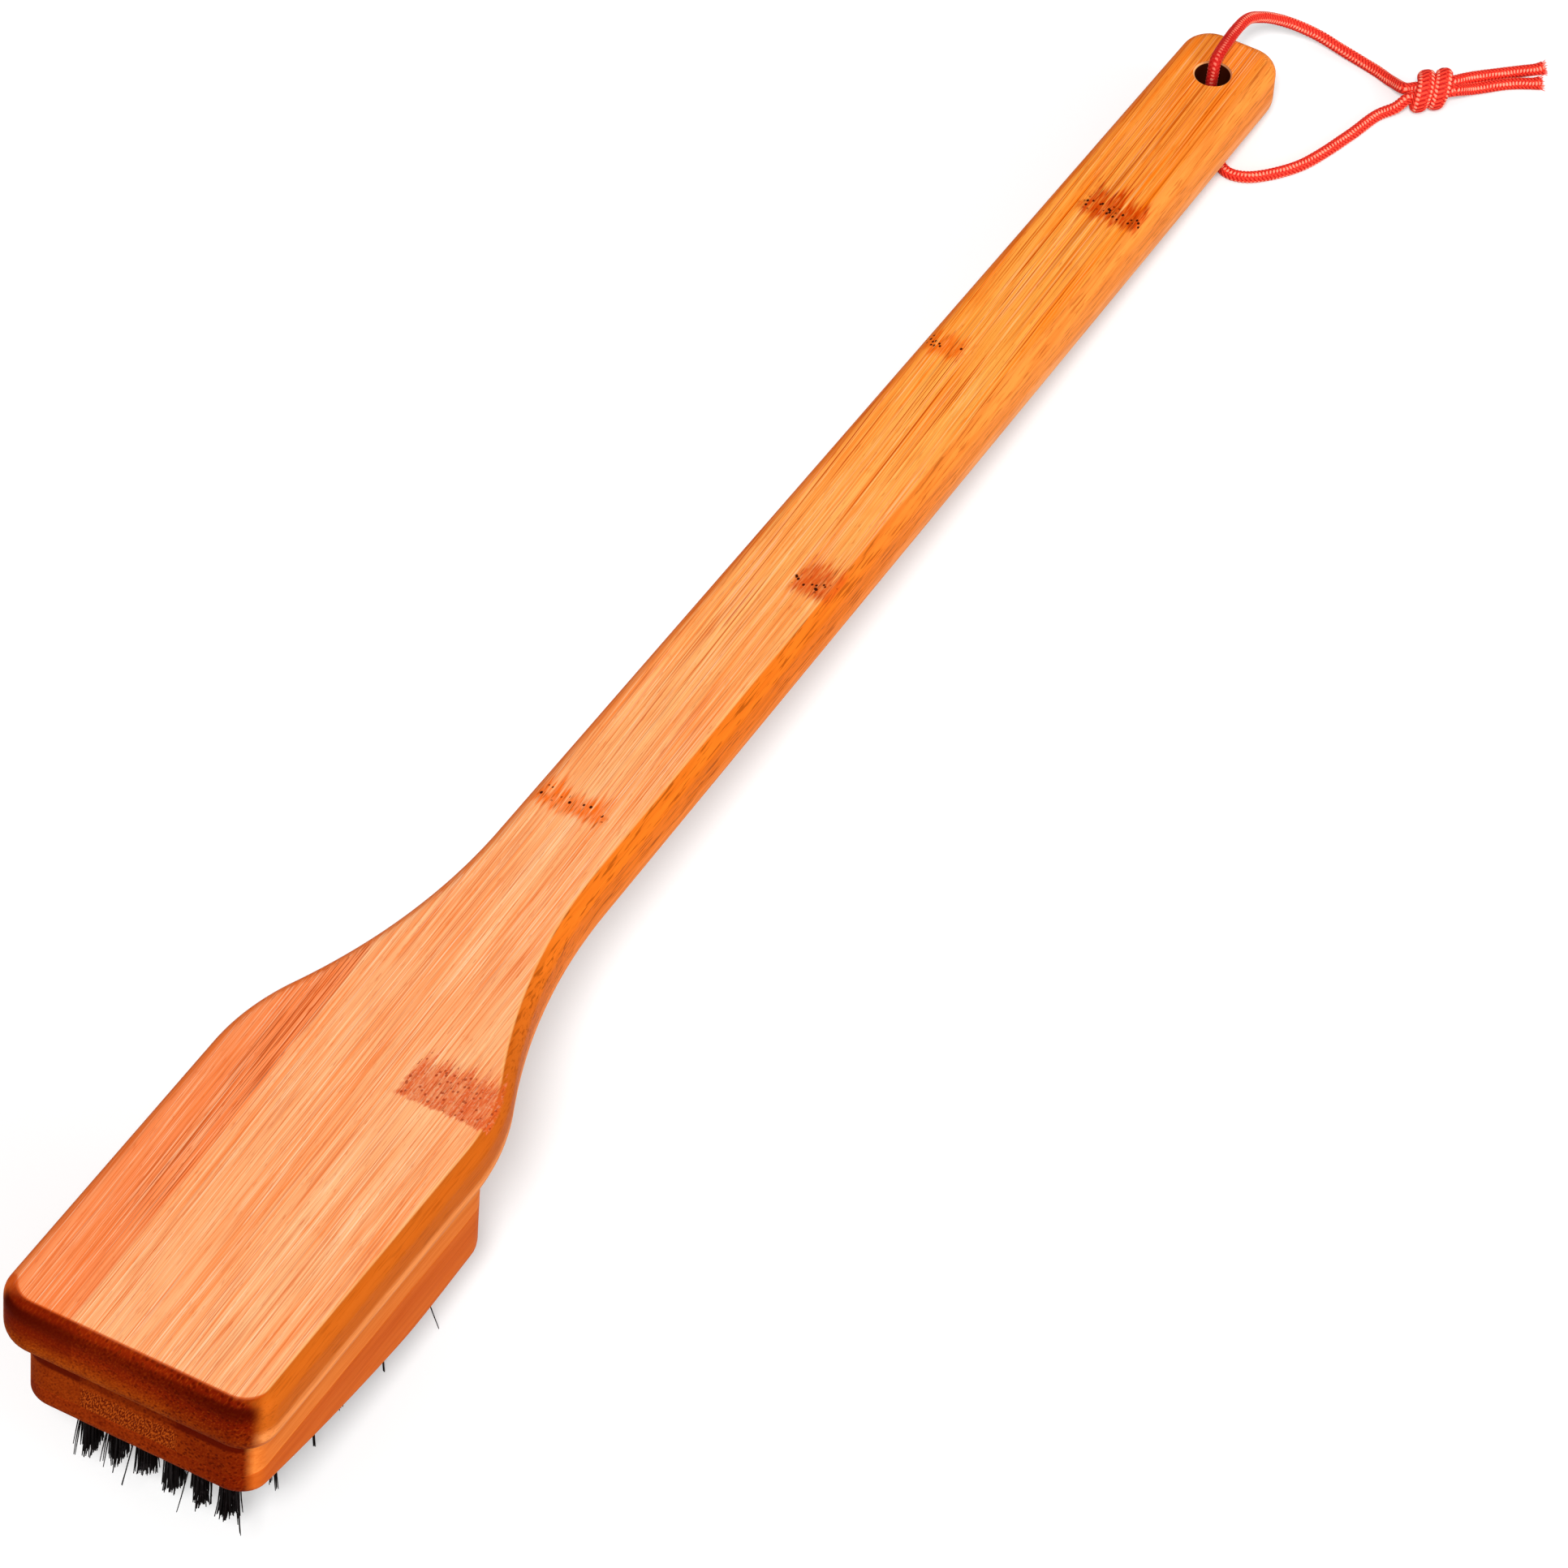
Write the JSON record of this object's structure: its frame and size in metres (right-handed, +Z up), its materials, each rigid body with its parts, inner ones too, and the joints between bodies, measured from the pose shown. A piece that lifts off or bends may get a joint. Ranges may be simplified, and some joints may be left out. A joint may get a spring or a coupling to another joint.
{
  "type": "grill brush",
  "caption": "Long-handled bamboo grill brush: a flat board narrows from a wide head to a straight handle, with a curved block of steel wire tufts under the head and a knotted hanging cord.",
  "frame": {"origin": "centre of the resting brush's bounding box, without its cord, on the surface it rests on", "axes": "+X along the brush towards the handle's end, +Y across it, +Z up; the brush stands on its last row of tufts and is modelled as it rests, with its head raised"},
  "size_m": [0.4964, 0.0884, 0.0648],
  "materials": {
    "bamboo_board": "sanded, lightly oiled, lengthwise grain",
    "bamboo_upper_ply": "sanded, rough end grain at the front",
    "bamboo_lower_ply": "sanded",
    "bristle_wire": "dark steel wire",
    "anchor_steel": "bare steel strip",
    "cord_red": "braided cord"
  },
  "bodies": {
    "root": {"handle_board": "bamboo_board", "block_upper_ply": "bamboo_upper_ply", "block_lower_ply": "bamboo_lower_ply", "bristle_row_01": "bristle_wire", "bristle_row_02": "bristle_wire", "bristle_row_03": "bristle_wire", "bristle_row_04": "bristle_wire", "bristle_row_05": "bristle_wire", "bristle_row_06": "bristle_wire", "bristle_row_07": "bristle_wire", "bristle_row_08": "bristle_wire", "bristle_row_09": "bristle_wire", "bristle_row_10": "bristle_wire", "bristle_row_11": "bristle_wire", "tuft_anchors": "anchor_steel", "hang_cord": "cord_red", "cord_knot": "cord_red", "cord_tails": "cord_red"}
  },
  "joints": []
}
